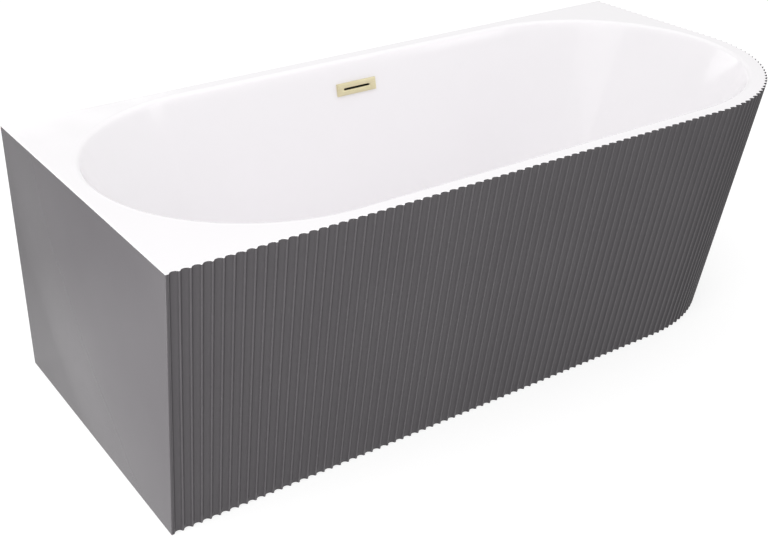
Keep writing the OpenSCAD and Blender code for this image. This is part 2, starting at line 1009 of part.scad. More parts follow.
module plug_stem() {
    color(zinc)
    union() {
        translate([0, 0, stem_foot])
            cylinder(r = stem_r, h = cap_z - stem_foot);
        translate([0, 0, spring_top])
            cylinder(r = spring_r, h = stem_collar_t);
        translate([0, 0, seal_z - boss_h])
            cylinder(r = boss_r, h = cap_z - seal_z + boss_h);
    }
}

module plug_spring() {
    color(zinc)
    translate([0, 0, spring_z])
        difference() {
            cylinder(r = spring_r, h = spring_top - spring_z);
            translate([0, 0, -cut])
                cylinder(r = stem_r + 0.5, h = spring_top - spring_z + 2 * cut);
        }
}

module plug_guide() {
    color(white_plastic)
    difference() {
        union() {
            translate([0, 0, guide_z])
                cylinder(r = guide_r, h = guide_top - guide_z);
            intersection() {
                for (turn = [0, 60, 120])
                    rotate([0, 0, turn])
                        translate([-tail_r, -arm_t / 2, guide_z])
                            cube([2 * tail_r, arm_t, arm_h]);
                translate([0, 0, guide_z])
                    cylinder(r = tail_r - tail_wall, h = arm_h);
            }
        }
        translate([0, 0, guide_z - cut])
            cylinder(r = stem_r + run_gap, h = guide_top - guide_z + 2 * cut);
        translate([0, 0, spring_z])
            cylinder(r = spring_r + 0.3, h = guide_top - spring_z + cut);
    }
}

module waste_gasket() {
    color(rubber)
    translate([0, 0, body_top])
        difference() {
            cylinder(r = body_flange_r, h = gasket_under_t);
            translate([0, 0, -cut])
                cylinder(r = waste_hole_r, h = gasket_under_t + 2 * cut);
        }
}

module waste_body() {
    color(white_plastic)
    difference() {
        union() {
            translate([0, 0, body_top - body_flange_t])
                cylinder(r = body_flange_r, h = body_flange_t);
            translate([0, 0, body_bottom])
                cylinder(r = body_r, h = body_top - body_bottom);
            translate([0, 0, trap_top - drain_reach])
                cylinder(r = drain_r, h = drain_l + cut);
            translate([0, 0, pipe_z])
                rotate([-90, 0, 0])
                    cylinder(r = socket_r, h = inlet_y);
        }
        translate([0, 0, body_bottom + body_floor])
            cylinder(r = tail_r + slip_gap, h = body_top - body_bottom);
        translate([0, 0, trap_top - drain_reach - cut])
            cylinder(r = drain_r - pipe_wall, h = drain_l + body_floor + 2 * cut);
        translate([0, inlet_seat, pipe_z])
            rotate([-90, 0, 0])
                cylinder(r = overflow_pipe_r + slip_gap, h = inlet_y);
        translate([0, 0, pipe_z])
            rotate([-90, 0, 0])
                cylinder(r = overflow_pipe_r - pipe_wall, h = inlet_y);
    }
}

// The trap under the waste, with a cleaning cap on the left and its outlet on the right
trap_mid = (trap_top + trap_clear) / 2;
outlet_socket_r = outlet_r + 1.5;
outlet_z = trap_clear + outlet_socket_r + hair_gap;
outlet_socket_l = 22;
outlet_socket_x = trap_r + outlet_socket_l;
outlet_bend = 45;
outlet_seat = trap_r + 8;
trap_cap_r = 16;
trap_cap_h = 8;
trap_cap_x = -trap_r - 6;
trap_round = 8;

module trap_body() {
    color(white_plastic)
    difference() {
        union() {
            rotate_extrude()
                polygon([
                    [0, trap_clear],
                    [trap_r - trap_round, trap_clear],
                    [trap_r - trap_round / 3, trap_clear + trap_round / 3],
                    [trap_r, trap_clear + trap_round],
                    [trap_r, trap_top - trap_round / 2],
                    [trap_r - trap_round / 2, trap_top],
                    [0, trap_top],
                ]);
            translate([0, 0, outlet_z])
                rotate([0, 90, 0])
                    cylinder(r = outlet_socket_r, h = outlet_socket_x);
            translate([trap_cap_x, 0, trap_mid])
                rotate([0, 90, 0])
                    cylinder(r = trap_cap_r - 2, h = trap_r);
        }
        translate([0, 0, trap_top - drain_reach - slip_gap])
            cylinder(r = drain_r + slip_gap, h = 2 * drain_reach);
        translate([outlet_seat, 0, outlet_z])
            rotate([0, 90, 0])
                cylinder(r = outlet_r + slip_gap, h = outlet_socket_x);
    }
}

module trap_cap() {
    color(black_plastic)
    translate([trap_cap_x, 0, trap_mid])
        rotate([0, -90, 0])
            difference() {
                cylinder(r = trap_cap_r, h = trap_cap_h);
                for (turn = [0 : 45 : 315])
                    rotate([0, 0, turn])
                        translate([trap_cap_r + 1, 0, 2])
                            cylinder(r = 3, h = trap_cap_h);
            }
}

outlet_end = bath_w / 2 - 2;
outlet_turn_x = outlet_x - outlet_bend;

module outlet_pipe() {
    color(white_plastic)
    union() {
        translate([outlet_seat, 0, outlet_z])
            rotate([0, 90, 0])
                pipe(outlet_r, outlet_turn_x - outlet_seat);
        translate([outlet_turn_x, 0, outlet_z])
            rotate([90, 0, 0])
                rotate([0, 90, 0])
                    quarter_bend(outlet_r, outlet_bend);
        translate([outlet_x, outlet_bend, outlet_z])
            rotate([-90, 0, 0])
                pipe(outlet_r, outlet_end - outlet_bend);
    }
}

// A ribbed slip nut along Z from the origin, over a pipe and against its socket
nut_reach = 12;

module slip_nut(pipe_r, outer_r, h) {
    difference() {
        cylinder(r = outer_r, h = h);
        translate([0, 0, -cut])
            cylinder(r = pipe_r + slip_gap, h = h + 2 * cut);
        for (turn = [0 : 30 : 330])
            rotate([0, 0, turn])
                translate([outer_r + 1, 0, -cut])
                    cylinder(r = 2.5, h = h + 2 * cut);
    }
}

module slip_nuts() {
    color(black_plastic)
    union() {
        translate([0, pipe_y, socket_z - nut_reach])
            slip_nut(overflow_pipe_r, socket_r + 3, nut_reach);
        translate([0, inlet_y, pipe_z])
            rotate([-90, 0, 0])
                slip_nut(overflow_pipe_r, socket_r + 3, nut_reach);
        translate([0, 0, trap_top])
            slip_nut(drain_r, drain_r + 7, nut_t);
        translate([outlet_socket_x, 0, outlet_z])
            rotate([0, 90, 0])
                slip_nut(outlet_r, outlet_socket_r + 4, nut_reach);
    }
}

bath_shell();
fluted_apron();
end_panel();
back_panel();
deck_batten_left();
deck_batten_back();
corner_strip_front();
corner_strip_back();
corner_strip_end();
base_board();
frame_rail(-1);  // frame_rail_front
frame_rail(1);  // frame_rail_back
cross_member(member_x[0]);  // cross_member_left
cross_member(member_x[1]);  // cross_member_middle
cross_member(member_x[2]);  // cross_member_right
tube_caps();
frame_bolts();
apron_brackets();
back_brackets();
bracket_screws();
foot_stud(foot_at[0]);  // foot_stud_1
foot_stud(foot_at[1]);  // foot_stud_2
foot_stud(foot_at[2]);  // foot_stud_3
foot_stud(foot_at[3]);  // foot_stud_4
foot_stud(foot_at[4]);  // foot_stud_5
foot_pad(foot_at[0]);  // foot_pad_1
foot_pad(foot_at[1]);  // foot_pad_2
foot_pad(foot_at[2]);  // foot_pad_3
foot_pad(foot_at[3]);  // foot_pad_4
foot_pad(foot_at[4]);  // foot_pad_5
stud_nuts(weld_nut_z, weld_nut_h);  // weld_nuts
stud_nuts(lock_nut_z, lock_nut_h);  // lock_nuts
overflow_plate();
overflow_gasket();
overflow_body();
overflow_screws();
overflow_pipe();
waste_flange();
plug_cap();
plug_seal();
plug_stem();
plug_spring();
plug_guide();
waste_gasket();
waste_body();
slip_nuts();
trap_body();
trap_cap();
outlet_pipe();
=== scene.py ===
from math import atan2, radians

import bmesh
import bpy
import numpy as np
from mathutils import Matrix, Vector


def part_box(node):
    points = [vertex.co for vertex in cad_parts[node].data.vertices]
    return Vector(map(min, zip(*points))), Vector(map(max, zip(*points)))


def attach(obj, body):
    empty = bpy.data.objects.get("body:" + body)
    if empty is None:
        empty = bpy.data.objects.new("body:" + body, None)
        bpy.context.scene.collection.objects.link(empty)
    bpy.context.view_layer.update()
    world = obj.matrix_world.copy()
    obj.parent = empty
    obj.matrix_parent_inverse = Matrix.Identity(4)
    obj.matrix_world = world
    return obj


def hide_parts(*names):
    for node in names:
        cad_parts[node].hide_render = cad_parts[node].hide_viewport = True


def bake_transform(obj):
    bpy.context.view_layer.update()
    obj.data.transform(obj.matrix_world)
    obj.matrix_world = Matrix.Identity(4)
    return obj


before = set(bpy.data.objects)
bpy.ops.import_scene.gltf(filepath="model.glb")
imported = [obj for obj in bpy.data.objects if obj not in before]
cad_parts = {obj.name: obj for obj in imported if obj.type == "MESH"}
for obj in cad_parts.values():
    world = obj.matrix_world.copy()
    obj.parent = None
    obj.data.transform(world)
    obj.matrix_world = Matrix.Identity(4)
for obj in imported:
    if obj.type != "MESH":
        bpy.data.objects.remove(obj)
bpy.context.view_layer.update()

# Bath shell: one sheet of white acrylic, drawn over a mould into deck and basin and backed
# with glass fibre. The apron and the panels stand in a step round its underside, so that
# only a thin lip shows over them, with the flutes of the apron in its edge.

# Sizes are in millimetres in all pieces, and in metres in the studio. A lean is how far in
# a wall stands at the floor, a foot is the radius where a basin wall meets the floor, and
# the flutes are counted on the front, round the corner and on the end.
BATH_L, BATH_W, BATH_H = 1700.0, 800.0, 580.0
LEFT, RIGHT, FRONT, BACK = -BATH_L / 2, BATH_L / 2, -BATH_W / 2, BATH_W / 2
FRONT_LEAN, END_LEAN = 80.0, 90.0
CORNER_TOP, CORNER_FOOT = 390.0, 360.0
RIM, EDGE_ROUND, WALL = 30.0, 12.0, 5.0
LIP, LIP_ROUND = 0.5, 0.3
FLOOR_Z, FLOOR_FALL, UNDER_Z = 140.0, 5.0, 128.0
SIDE_SLOPE, END_SLOPE = radians(10.5), radians(24)
SIDE_FOOT, END_FOOT = 70.0, 110.0
WASTE_FLAT = (43.0, 42.0)
HOLE_R, SEAT_R, SEAT_Z = 26.0, 35.2, 132.0
FLUTES = (65, 31, 20)
FLUTE_DEPTH, LAND, SOFTEN = 6.0, 3.0, 0.4
APRON_T, PANEL_T = 10.0, 5.0


def lean(z):
    """Where the straight front, the straight end and the corner's radius are at height
    z. All three change in a straight line from deck to floor."""
    fall = (BATH_H - z) / BATH_H
    corner = CORNER_TOP + (CORNER_FOOT - CORNER_TOP) * fall
    return FRONT + FRONT_LEAN * fall, RIGHT - END_LEAN * fall, corner


def crest(run, t, z, inset):
    """Points of the crest line at height z and at shares t of a run, moved in by inset.
    Run 0 is the straight front, run 1 a quarter circle round the corner, run 2 the
    straight end."""
    front, end, r = lean(z)
    cx, cy = end - r, front + r
    if run == 0:
        start = LEFT + PANEL_T
        return np.stack([start + (cx - start) * t, front + inset + 0 * t], -1)
    if run == 2:
        return np.stack([end - inset + 0 * t, cy + (BACK - PANEL_T - cy) * t], -1)
    turn = np.pi / 2 * t
    return np.stack([cx + (r - inset) * np.sin(turn), cy - (r - inset) * np.cos(turn)], -1)


def fluted_line(z, back=False):
    """The fluted outline at height z. Across its pitch each flute has half a flat land,
    a small rounding of radius SOFTEN, an arc of a circle FLUTE_DEPTH deep, and the same
    back to the next land. The back is plain, with a point for each of these, all of them
    APRON_T in from the crest line."""
    front, end, corner = lean(z)
    lengths = (
        end - corner - LEFT - PANEL_T,
        corner * np.pi / 2,
        BACK - PANEL_T - front - corner,
    )
    line = [crest(0, np.zeros(1), z, APRON_T * back)]
    for run, (length, count) in enumerate(zip(lengths, FLUTES)):
        pitch = length / count
        half = (pitch - LAND) / 2
        r = (half ** 2 + FLUTE_DEPTH ** 2) / (2 * FLUTE_DEPTH)
        reach = np.arcsin(half / r)
        tangent = SOFTEN * np.tan(reach / 2)
        soft = np.linspace(0, reach, 4)
        bend = np.linspace(-1, 1, 11)[1:-1] * (reach - tangent / r)
        along = LAND / 2 - tangent + SOFTEN * np.sin(soft)
        deep = SOFTEN * (1 - np.cos(soft))
        s = np.concatenate([along, pitch / 2 + r * np.sin(bend), pitch - along[::-1]])
        inset = np.concatenate([deep, r * np.cos(bend) - r + FLUTE_DEPTH, deep[::-1]])
        inset = 0 * inset + APRON_T if back else inset
        t = (np.arange(count)[:, None] + s / pitch) / count
        line.append(crest(run, t, z, np.broadcast_to(inset, t.shape)).reshape(-1, 2))
    line.append(crest(2, np.ones(1), z, APRON_T * back))
    return np.concatenate(line)


def at(xy, z):
    """Points xy at height z."""
    return np.column_stack([xy, np.full(len(xy), float(z))])


def ring_quads(rings, n, first=0, closed=True):
    """Quads between rings of n points that follow one another from vertex first. An
    open ring leaves out the quad from its last point back to its first."""
    i = np.arange(n if closed else n - 1)
    a = first + np.arange(rings - 1)[:, None] * n + i
    b = first + np.arange(rings - 1)[:, None] * n + (i + 1) % n
    return np.stack([a, b, b + n, a + n], -1).reshape(-1, 4)


def add_piece(name, points, faces, sharp=35, **values):
    """A mesh from points in millimetres, with any named values, one for each point. Its
    faces are turned outwards, and its edges look sharp where they turn by more than an
    angle."""
    mesh = bpy.data.meshes.new(name)
    mesh.from_pydata((np.asarray(points) / 1000).tolist(), [], faces)
    for key, value in values.items():
        mesh.attributes.new(key, "FLOAT", "POINT").data.foreach_set("value", np.ravel(value))
    piece = bpy.data.objects.new(name, mesh)
    bpy.context.scene.collection.objects.link(piece)
    tidy_faces(mesh, sharp)
    return piece


def tidy_faces(mesh, sharp):
    """Merges doubles, turns faces outwards, and smooths all edges but the sharp ones."""
    work = bmesh.new()
    work.from_mesh(mesh)
    bmesh.ops.remove_doubles(work, verts=work.verts, dist=2e-7)
    bmesh.ops.recalc_face_normals(work, faces=work.faces)
    work.to_mesh(mesh)
    work.free()
    mesh.shade_smooth()
    mesh.set_sharp_from_angle(angle=radians(sharp))


def wall_inset(d, depth, slope, edge, foot):
    """How far a basin wall stands in at depth d: a quarter round at the edge, a straight
    slope, and a round at the foot that is tangent to the slope and to the floor."""
    edge_d, foot_d = edge * (1 - np.sin(slope)), foot * (1 - np.sin(slope))
    reach = (edge + foot) * np.cos(slope) + (depth - edge_d - foot_d) * np.tan(slope)
    top = np.sqrt(np.maximum(0, edge ** 2 - (edge - d) ** 2))
    middle = edge * np.cos(slope) + (d - edge_d) * np.tan(slope)
    low = reach - np.sqrt(np.maximum(0, foot ** 2 - (foot - depth + d) ** 2))
    return np.where(d <= edge_d, top, np.where(d < depth - foot_d, middle, low))


def ovals(a, b, z, steps=96):
    """Long ovals, one for each value of a, b and z: half circles of radius b whose
    centres lie a - b either side of the middle."""
    turn = np.linspace(-np.pi / 2, np.pi / 2, steps + 1)
    side = np.repeat([1, -1], steps + 1)
    turn = np.tile(turn, 2)
    a, b, z = (np.asarray(v, float)[:, None] for v in (a, b, z))
    x = side * (a - b + b * np.cos(turn))
    return np.stack([x, side * b * np.sin(turn), z + 0 * x], -1)


def basin_rings(top, depth, edge, grow):
    """The basin's rings from its edge down to its floor, close together on the rounds.
    Each is a long oval, drawn in from the rim by the inset of the walls at its depth."""
    d = np.concatenate([
        edge * (1 - np.cos(np.linspace(0, np.pi / 2 - SIDE_SLOPE, 9))),
        np.linspace(0.06, 0.94, 9) * (depth - edge - END_FOOT * (1 - np.sin(END_SLOPE))) + edge,
        depth - (END_FOOT + grow) * (1 - np.cos(np.linspace(np.pi / 2 - END_SLOPE, 0, 25))),
    ])
    side = wall_inset(d, depth, SIDE_SLOPE, edge, SIDE_FOOT + grow)
    end = wall_inset(d, depth, END_SLOPE, edge, END_FOOT + grow)
    return ovals(RIGHT - RIM - end, BACK - RIM - side, top - d)


inside = basin_rings(BATH_H, BATH_H - FLOOR_Z, EDGE_ROUND, 0)
foot_a, foot_b = inside[-1][:, 0].max(), inside[-1][:, 1].max()
to_waste = np.linspace(0, 1, 7)[1:]
floor_rings = ovals(
    foot_a + (WASTE_FLAT[0] - foot_a) * to_waste,
    foot_b + (WASTE_FLAT[1] - foot_b) * to_waste,
    FLOOR_Z - FLOOR_FALL * to_waste,
)
outside = basin_rings(BATH_H - WALL, BATH_H - WALL - UNDER_Z, EDGE_ROUND - WALL, WALL)

# The deck's outline and, for each of its points, the way inwards. The three square
# corners move in along both their sides.
edge_line = np.concatenate([[[LEFT, BACK], [LEFT, FRONT]], fluted_line(BATH_H), [[RIGHT, BACK]]])
along = np.roll(edge_line, -1, 0) - np.roll(edge_line, 1, 0)
inward = np.column_stack([-along[:, 1], along[:, 0]]) / np.linalg.norm(along, axis=1)[:, None]
inward[[0, 1, -1]] = [[1, -1], [1, 1], [-1, -1]]

# The lip goes down round the edge, in to the step for the panels, and up to the underside.
step_line = fluted_line(BATH_H - WALL, back=True)
step_corner = [LEFT + PANEL_T, BACK - PANEL_T]
step_line = np.concatenate([[step_corner, step_line[0]], step_line, step_line[-1:]])
lip = np.stack([
    at(edge_line + inward * inset * LIP_ROUND, BATH_H - down * LIP_ROUND)
    for inset, down in ((1, 0), (1 / 3, 1 / 3), (0, 1), (0, LIP / LIP_ROUND))
] + [at(step_line, BATH_H - LIP), at(step_line, BATH_H - WALL)])
n_in, n_out = inside.shape[1], len(edge_line)
basin_points = np.concatenate([inside, floor_rings])
n_basin = len(basin_points) * n_in
lip_first = n_basin + len(outside) * n_in
shell_points = np.concatenate([rings.reshape(-1, 3) for rings in (basin_points, outside, lip)])


def deck_faces(ring, outline):
    """The flat deck round the opening as two faces: one along the wall, and one round
    the three other sides. They meet on lines from the oval to the back corners."""
    right, left = n_in // 4 + n_in // 8, n_in // 2 + n_in // 8
    loop = np.arange(n_in)
    back = np.concatenate([[outline + n_out - 1, outline], ring + loop[right:left + 1][::-1]])
    front = np.concatenate([
        outline + np.arange(n_out),
        ring + loop[:right + 1][::-1],
        ring + loop[left:][::-1],
    ])
    return [back.tolist(), front.tolist()]


# The faces follow one another: the basin's inside and the flat round the waste, the same
# underneath, the lip, and the deck's upper and lower face.
shell = add_piece(
    "bath_shell_moulded",
    shell_points,
    ring_quads(len(basin_points), n_in).tolist()
    + [(n_basin - n_in + np.arange(n_in)).tolist()]
    + ring_quads(len(outside), n_in, n_basin).tolist()
    + [(lip_first - n_in + np.arange(n_in)).tolist()]
    + ring_quads(len(lip), n_out, lip_first).tolist()
    + deck_faces(0, lip_first)
    + deck_faces(n_basin, lip_first + (len(lip) - 1) * n_out),
)


def turned(profile, n=96):
    """A solid turned about Z: each point of the profile (radius, height) goes round a
    full circle in n steps. Points at radius 0 close it."""
    profile = np.asarray(profile, float)
    turn = np.linspace(0, 2 * np.pi, n, endpoint=False)
    r, z = profile[:, 0, None], profile[:, 1, None]
    grid = np.stack([r * np.cos(turn), r * np.sin(turn), z + 0 * r * turn], -1)
    return grid.reshape(-1, 3), ring_quads(len(profile), n).tolist()


OVERFLOW_DROP, WALL_SLOT = 69.0, (40.0, 7.0)
wall_in = wall_inset(OVERFLOW_DROP, BATH_H - FLOOR_Z, SIDE_SLOPE, EDGE_ROUND, SIDE_FOOT)
PLATE_Y, PLATE_Z = BACK - RIM - float(wall_in), BATH_H - OVERFLOW_DROP


def onto_back_wall(points):
    """Takes points from the overflow's own frame, where -Y leads out of the wall into
    the basin and Z runs up the wall: they turn about X by the wall's slope and move to
    the plate's place on the wall."""
    turn = np.array(Matrix.Rotation(-SIDE_SLOPE, 3, "X"))
    return points @ turn.T + [0, PLATE_Y, PLATE_Z]


def slot_loop(half_l, r, steps=12, straight=10):
    """A slot's outline in X and Z: straight runs joined by half circles of radius r."""
    run = np.linspace(-1, 1, straight + 1)[1:-1] * (half_l - r)
    turn = np.linspace(-np.pi / 2, np.pi / 2, 3 * steps + 1)
    end = np.column_stack([half_l - r + r * np.cos(turn), r * np.sin(turn)])
    top = np.column_stack([run[::-1], np.full(len(run), r)])
    half = np.concatenate([end, top])
    return np.concatenate([half, -half])


def cut_away(piece, points, faces):
    """Cuts a closed solid out of a piece and keeps the result as its mesh."""
    cutter = add_piece("cutter", points, faces)
    cut = piece.modifiers.new("cut", "BOOLEAN")
    cut.object, cut.operation, cut.solver = cutter, "DIFFERENCE", "EXACT"
    bpy.context.view_layer.update()
    result = piece.evaluated_get(bpy.context.evaluated_depsgraph_get())
    mesh = bpy.data.meshes.new_from_object(result)
    piece.modifiers.clear()
    piece.data = mesh
    bpy.data.objects.remove(cutter)


def prism(loop, low, high):
    """A loop of points in X and Z carried from low to high along Y, with closed ends."""
    n = len(loop)
    rings = [np.column_stack([loop[:, 0], np.full(n, y), loop[:, 1]]) for y in (low, high)]
    ends = [list(range(n)), list(range(n, 2 * n))]
    return np.concatenate(rings), ring_quads(2, n).tolist() + ends


# The waste's hole with a seat for its flange, and the overflow's slot, are cut right
# through the sheet and a little past its faces.
below, above = UNDER_Z - 8, FLOOR_Z + 10
cut_away(shell, *turned([
    (0, below), (HOLE_R, below), (HOLE_R, SEAT_Z), (SEAT_R, SEAT_Z), (SEAT_R, above), (0, above)
]))
slot_points, slot_faces = prism(slot_loop(*WALL_SLOT), -2, WALL + 2)
cut_away(shell, onto_back_wall(slot_points), slot_faces)
tidy_faces(shell.data, sharp=35)

# The deck's wide level faces are shaded flat, so that its rounds don't tint them.
normals = np.empty(len(shell.data.polygons) * 3)
shell.data.polygons.foreach_get("normal", normals)
shell.data.polygons.foreach_set("use_smooth", np.abs(normals[2::3]) < 0.99999)
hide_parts("bath_shell")
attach(shell, "bath")


def finish(name, colour, roughness, metallic=0.0, coat=0.0, specular=0.5):
    """A new material with one plain shader."""
    material = bpy.data.materials.new(name)
    material.use_nodes = True
    shader = material.node_tree.nodes["Principled BSDF"]
    shader.inputs["Base Color"].default_value = (*colour, 1)
    shader.inputs["Roughness"].default_value = roughness
    shader.inputs["Metallic"].default_value = metallic
    shader.inputs["Coat Weight"].default_value = coat
    shader.inputs["Coat Roughness"].default_value = 0.04
    shader.inputs["Specular IOR Level"].default_value = specular
    return material


def grain(material, scale, stretch=(1, 1, 1), detail=3.0):
    """A noise pattern on object coordinates, stretched along the axes, as a grey value."""
    tree = material.node_tree
    place = tree.nodes.new("ShaderNodeTexCoord")
    sizes = tree.nodes.new("ShaderNodeMapping")
    sizes.inputs["Scale"].default_value = stretch
    noise = tree.nodes.new("ShaderNodeTexNoise")
    noise.inputs["Scale"].default_value = scale
    noise.inputs["Detail"].default_value = detail
    tree.links.new(place.outputs["Object"], sizes.inputs["Vector"])
    tree.links.new(sizes.outputs["Vector"], noise.inputs["Vector"])
    return noise.outputs["Fac"]


def carry(tree, value, start, end, low, high):
    """Carries a value in a straight line from low to high while it goes from start to
    end, and holds it level past both."""
    node = tree.nodes.new("ShaderNodeMapRange")
    node.inputs["From Min"].default_value, node.inputs["From Max"].default_value = start, end
    node.inputs["To Min"].default_value, node.inputs["To Max"].default_value = low, high
    tree.links.new(value, node.inputs["Value"])
    return node.outputs["Result"]


# The greys of a grain lie mostly between these two.
GRAIN_LOW, GRAIN_HIGH = 0.3, 0.7


def span(material, value, low, high):
    """Spreads a grain between two numbers or two colours."""
    tree = material.node_tree
    if np.isscalar(low):
        return carry(tree, value, GRAIN_LOW, GRAIN_HIGH, low, high)
    node = tree.nodes.new("ShaderNodeValToRGB")
    first, last = node.color_ramp.elements
    first.position, first.color = GRAIN_LOW, (*low, 1)
    last.position, last.color = GRAIN_HIGH, (*high, 1)
    tree.links.new(value, node.inputs["Fac"])
    return node.outputs["Color"]


def feed(material, socket, value):
    """Joins a varying value to one socket of the material's shader."""
    material.node_tree.links.new(value, material.node_tree.nodes["Principled BSDF"].inputs[socket])


def relief(material, height, depth):
    """A bump of that depth in metres from a grey value."""
    bump = material.node_tree.nodes.new("ShaderNodeBump")
    bump.inputs["Distance"].default_value = depth
    material.node_tree.links.new(height, bump.inputs["Height"])
    feed(material, "Normal", bump.outputs["Normal"])


# Polished acrylic: a long, very shallow waviness from the mould, and faint
# differences in polish that show only in reflections.
white_acrylic = finish("white_acrylic", (0.93, 0.913, 0.93), 0.12, coat=0.1, specular=0.3)
feed(white_acrylic, "Roughness", span(white_acrylic, grain(white_acrylic, 9, detail=4), 0.09, 0.16))
relief(white_acrylic, grain(white_acrylic, 6, detail=1), 0.0006)
shell.data.materials.clear()
shell.data.materials.append(white_acrylic)

# Fluted apron: a graphite acrylic panel, moulded with 116 flutes in one length along the
# front, round the corner and along the right end. It leans in towards the floor and is
# held by brackets behind it.

apron_rows = np.linspace(BATH_H - LIP, 0, 9)
outer = np.stack([at(fluted_line(z), z) for z in apron_rows])
behind = np.stack([at(fluted_line(z, back=True), z) for z in apron_rows])
section = np.concatenate([outer, behind[::-1], outer[:1]])
n_rows, n_front = section.shape[:2]

# How deep each point lies in its flute, from 0 on a land to 1 at the bottom, which sets the
# painted shade of the flutes. One face closes each end of the panel.
depth = (APRON_T - np.linalg.norm(outer - behind, axis=2)) / FLUTE_DEPTH
ends = [[row * n_front + side for row in range(n_rows - 1)] for side in (0, n_front - 1)]
apron = add_piece(
    "fluted_apron_moulded",
    section.reshape(-1, 3),
    ring_quads(n_rows, n_front, closed=False).tolist() + ends,
    sharp=50,
    depth=np.concatenate([depth, 0 * depth + 1, depth[:1]]),
)
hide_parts("fluted_apron")
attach(apron, "bath")


def graphite_skin(name, dark, light):
    """Graphite acrylic: soft gloss, a slight orange peel, and a colour that drifts
    between a darker and a lighter shade."""
    skin = finish(name, dark, 0.26, specular=0.24)
    shade = span(skin, grain(skin, 5, detail=2), dark, light)
    feed(skin, "Base Color", shade)
    feed(skin, "Roughness", span(skin, grain(skin, 12, detail=2), 0.25, 0.27))
    relief(skin, grain(skin, 120, detail=1), 0.00001)
    return skin, shade


# The apron's colour is full on the lands and darker on the steep flanks of the flutes: this is
# painted shade, which brings out the contrast that they have in the photograph. Each pair is a
# share of a flute's depth and the share of the colour that is left there.
FLUTE_PAINTED_SHADES = ((0, 1), (0.04, 0.97), (0.15, 0.6), (0.48, 0.66), (0.77, 0.85), (0.93, 0.92), (1, 0.9))

# The fluted apron's graphite is a shade lighter than the plain panels': a painted highlight that makes its
# lands paler.
fluted, shade = graphite_skin("graphite_acrylic_fluted_painted_light", (0.091, 0.0853, 0.091), (0.0955, 0.0898, 0.0955))
tree = fluted.node_tree
flute_depth = tree.nodes.new("ShaderNodeAttribute")
flute_depth.attribute_name = "depth"
painted_flute_shade = tree.nodes.new("ShaderNodeValToRGB")
stops = painted_flute_shade.color_ramp.elements
stops.remove(stops[1])
for level, grey in FLUTE_PAINTED_SHADES:
    stop = stops.new(level) if level else stops[0]
    stop.color = (grey, grey, grey, 1)
tree.links.new(flute_depth.outputs["Fac"], painted_flute_shade.inputs["Fac"])

# The drifting colour of the skin is multiplied by the painted shade of the flutes.
# Inputs 6 and 7 and output 2 are the colours of a mix node.
both = tree.nodes.new("ShaderNodeMix")
both.data_type, both.blend_type = "RGBA", "MULTIPLY"
both.inputs[0].default_value = 1.0
tree.links.new(shade, both.inputs[6])
tree.links.new(painted_flute_shade.outputs["Color"], both.inputs[7])
feed(fluted, "Base Color", both.outputs[2])
apron.data.materials.append(fluted)

# Plain panels: flat graphite acrylic sheets, cut to size with eased edges. One closes the
# left end, the other the back, which has a notch for the waste pipe. Acrylic strips in the
# corners inside join them to the apron.

NOTCH_FROM, NOTCH_TO, NOTCH_H = -110.0, 350.0, 170.0
graphite, _ = graphite_skin("graphite_acrylic", (0.080, 0.075, 0.080), (0.084, 0.079, 0.084))


def sheet_panel(name, node, loop, axes, origin, ease=0.7):
    """A flat sheet: a closed loop of (x, y) carried through its thickness in rings. Near
    both faces the corners stand in along their mitres, which eases the edges. Axes and
    origin turn and move the sheet into place."""
    loop = np.asarray(loop, float)
    ahead, back = np.roll(loop, -1, 0) - loop, loop - np.roll(loop, 1, 0)
    ahead /= np.linalg.norm(ahead, axis=1)[:, None]
    back /= np.linalg.norm(back, axis=1)[:, None]
    mitre = np.column_stack([-(ahead + back)[:, 1], (ahead + back)[:, 0]])
    mitre /= (1 + (ahead * back).sum(1))[:, None]
    low_edge = [(ease, 0), (0.3 * ease, 0.3 * ease), (0, ease)]
    high_edge = [(inset, PANEL_T - h) for inset, h in reversed(low_edge)]
    rings = np.stack([at(loop + mitre * inset, h) for inset, h in low_edge + high_edge])
    n = len(loop)
    last = n * (len(rings) - 1)
    faces = ring_quads(len(rings), n).tolist() + [list(range(n)), list(range(last, last + n))]
    panel = add_piece(name, rings.reshape(-1, 3) @ np.array(axes).T + origin, faces, sharp=50)
    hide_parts(node)
    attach(panel, "bath")
    panel.data.materials.append(graphite)


panel_top = BATH_H - LIP
front_top, end_top, _ = lean(panel_top)
front_foot, end_foot, _ = lean(0)
sheet_panel(
    "end_panel_sheet", "end_panel",
    [(front_foot, 0), (BACK, 0), (BACK, panel_top), (front_top, panel_top)],
    [[0, 0, 1], [1, 0, 0], [0, 1, 0]], [LEFT, 0, 0],
)
sheet_panel(
    "back_panel_sheet", "back_panel",
    [
        (LEFT + PANEL_T, 0), (NOTCH_FROM, 0), (NOTCH_FROM, NOTCH_H), (NOTCH_TO, NOTCH_H),
        (NOTCH_TO, 0), (end_foot, 0), (end_top, panel_top), (LEFT + PANEL_T, panel_top),
    ],
    [[1, 0, 0], [0, 0, 1], [0, 1, 0]], [0, BACK - PANEL_T, 0],
)


def dress(material, *names):
    """Gives CAD nodes a material in place of their plain one."""
    for name in names:
        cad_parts[name].data.materials.clear()
        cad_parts[name].data.materials.append(material)


dress(graphite, "corner_strip_front", "corner_strip_back", "corner_strip_end")

# Battens and board: planed pine battens are bonded under the wide parts of the deck, and a
# sealed chipboard panel is bonded under the basin's floor to carry its load.

pine = finish("planed_pine", (0.6, 0.42, 0.24), 0.6)
rings_of_growth = grain(pine, 60, stretch=(0.12, 1, 1), detail=6)
feed(pine, "Base Color", span(pine, rings_of_growth, (0.50, 0.33, 0.17), (0.68, 0.50, 0.29)))
relief(pine, grain(pine, 140, stretch=(0.1, 1, 1), detail=4), 0.0002)
dress(pine, "deck_batten_left", "deck_batten_back")

